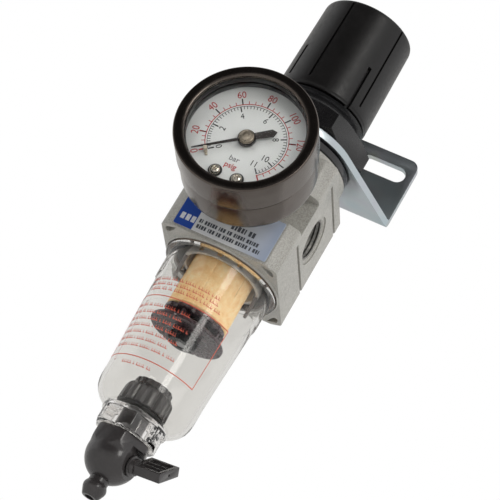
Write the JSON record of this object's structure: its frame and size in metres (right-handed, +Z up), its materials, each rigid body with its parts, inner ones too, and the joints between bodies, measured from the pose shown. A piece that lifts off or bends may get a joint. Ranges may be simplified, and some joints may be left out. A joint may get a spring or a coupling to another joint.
{
  "type": "air filter-regulator",
  "caption": "Compressed-air filter-regulator with a turning knob, dial gauge, panel bracket, clear unscrewing bowl and a lever drain.",
  "frame": {"origin": "on the bracket's rear mounting face, midway between its slots", "axes": "+X to the outlet port, +Y out of the bracket's rear face and away from the gauge, +Z up along the bowl and knob axis to the knob"},
  "size_m": [0.0646, 0.0797, 0.184],
  "materials": {
    "body_casting": "silver-grey paint on a die casting, satin",
    "label_print": "printed foil, blue and silver",
    "bright_steel": "bright turned steel",
    "spring_steel": "drawn spring wire",
    "zinc_plate": "zinc-plated sheet, bluish passivation",
    "black_plastic": "black moulded plastic, satin",
    "knob_plastic": "black moulded plastic, fine texture",
    "baffle_plastic": "dark moulded plastic",
    "clear_plastic": "clear polycarbonate, glossy",
    "lens_plastic": "clear plastic lens, glossy",
    "sintered_filter": "tan sintered beads, rough",
    "rubber": "black nitrile rubber",
    "brass": "turned brass",
    "gauge_shell": "dark gunmetal lacquer, glossy",
    "dial_paint": "off-white printed dial",
    "needle_paint": "black painted pointer"
  },
  "bodies": {
    "frame": {"body": "body_casting", "label_plate": "label_print", "rear_port_plug": "bright_steel", "bonnet": "black_plastic", "panel_nut": "black_plastic", "mounting_bracket": "zinc_plate", "thrust_washer": "brass", "regulating_spring": "spring_steel", "diaphragm": "rubber", "valve_spring": "spring_steel", "valve_guide": "black_plastic", "deflector": "baffle_plastic", "filter_element": "sintered_filter", "filter_retainer": "baffle_plastic", "baffle": "baffle_plastic", "element_stud": "bright_steel", "element_nut": "black_plastic", "gauge_case": "gauge_shell", "gauge_bezel": "gauge_shell", "gauge_lens": "lens_plastic", "gauge_dial": "dial_paint", "gauge_stem": "brass", "dial_screw_left": "bright_steel", "dial_screw_right": "bright_steel", "stop_pin": "brass", "movement_plate": "brass", "bourdon_tube": "brass"},
    "control_screw": {"adjusting_screw": "bright_steel"},
    "control_knob": {"knob": "knob_plastic"},
    "spring_nut": {"adjusting_nut": "brass"},
    "diaphragm_centre": {"diaphragm_plate": "brass", "diaphragm_washer": "brass"},
    "valve": {"valve_stem": "brass", "valve_disc": "rubber"},
    "gauge_sector": {"sector_gear": "brass"},
    "gauge_link": {"tip_link": "brass"},
    "gauge_pointer": {"gauge_needle": "needle_paint", "needle_cap": "brass", "pinion_arbor": "brass"},
    "bowl_seal": {"bowl_o_ring": "rubber"},
    "filter_bowl": {"bowl": "clear_plastic", "drain_body": "black_plastic", "drain_nut": "black_plastic", "drain_gasket": "rubber"},
    "drain_cock": {"drain_lever": "black_plastic", "lever_o_ring": "rubber"}
  },
  "joints": [
    {"name": "pressure_adjust", "type": "hinge", "parent": "frame", "child": "control_screw", "pos_m": [0, -0.0244, 0.0059], "axis": [0, 0, 1], "range_deg": [-2161, 0]},
    {"name": "knob_pull", "type": "slide", "parent": "control_screw", "child": "control_knob", "axis": [0, 0, 1], "range_m": [0, 0.003]},
    {"name": "nut_travel", "type": "slide", "parent": "frame", "child": "spring_nut", "axis": [0, 0, 1], "range_m": [-0.009, 0], "deforming": ["regulating_spring"]},
    {"name": "diaphragm_travel", "type": "slide", "parent": "frame", "child": "diaphragm_centre", "axis": [0, 0, 1], "range_m": [-0.0008, 0], "stiffness_N_per_m": 800, "springref_m": 0.0015, "deforming": ["diaphragm"]},
    {"name": "valve_travel", "type": "slide", "parent": "frame", "child": "valve", "axis": [0, 0, 1], "range_m": [-0.0008, 0], "deforming": ["valve_spring"]},
    {"name": "sector_turn", "type": "hinge", "parent": "frame", "child": "gauge_sector", "pos_m": [0, -0.0665, -0.05745], "axis": [0, 1, 0], "range_deg": [-32.4, 0], "stiffness_Nm_per_rad": 0.004, "springref_deg": 11.46},
    {"name": "needle_turn", "type": "hinge", "parent": "frame", "child": "gauge_pointer", "pos_m": [0, -0.0736, -0.04595], "axis": [0, 1, 0], "range_deg": [0, 266]},
    {"name": "link_turn", "type": "hinge", "parent": "gauge_sector", "child": "gauge_link", "pos_m": [0.004, -0.0651, -0.05845], "axis": [0, 1, 0], "range_deg": [0, 32.5]},
    {"name": "bowl_drop", "type": "slide", "parent": "frame", "child": "bowl_seal", "axis": [0, 0, 1], "range_m": [-0.0105, 0]},
    {"name": "bowl_turn", "type": "hinge", "parent": "bowl_seal", "child": "filter_bowl", "pos_m": [0, -0.0244, -0.0686], "axis": [0, 0, 1], "range_deg": [-1891, 0]},
    {"name": "drain_turn", "type": "hinge", "parent": "filter_bowl", "child": "drain_cock", "pos_m": [0, -0.0244, -0.1371], "axis": [0.9659, -0.2588, 0], "range_deg": [-90, 0]}
  ],
  "couplings": [
    {"joint": "pressure_adjust", "follows": "nut_travel", "rad_per_m": 4188.8},
    {"joint": "valve_travel", "follows": "diaphragm_travel", "ratio": 1},
    {"joint": "needle_turn", "follows": "sector_turn", "ratio": -8.2},
    {"joint": "link_turn", "follows": "sector_turn", "ratio": -1},
    {"joint": "bowl_turn", "follows": "bowl_drop", "rad_per_m": 3141.6}
  ]
}
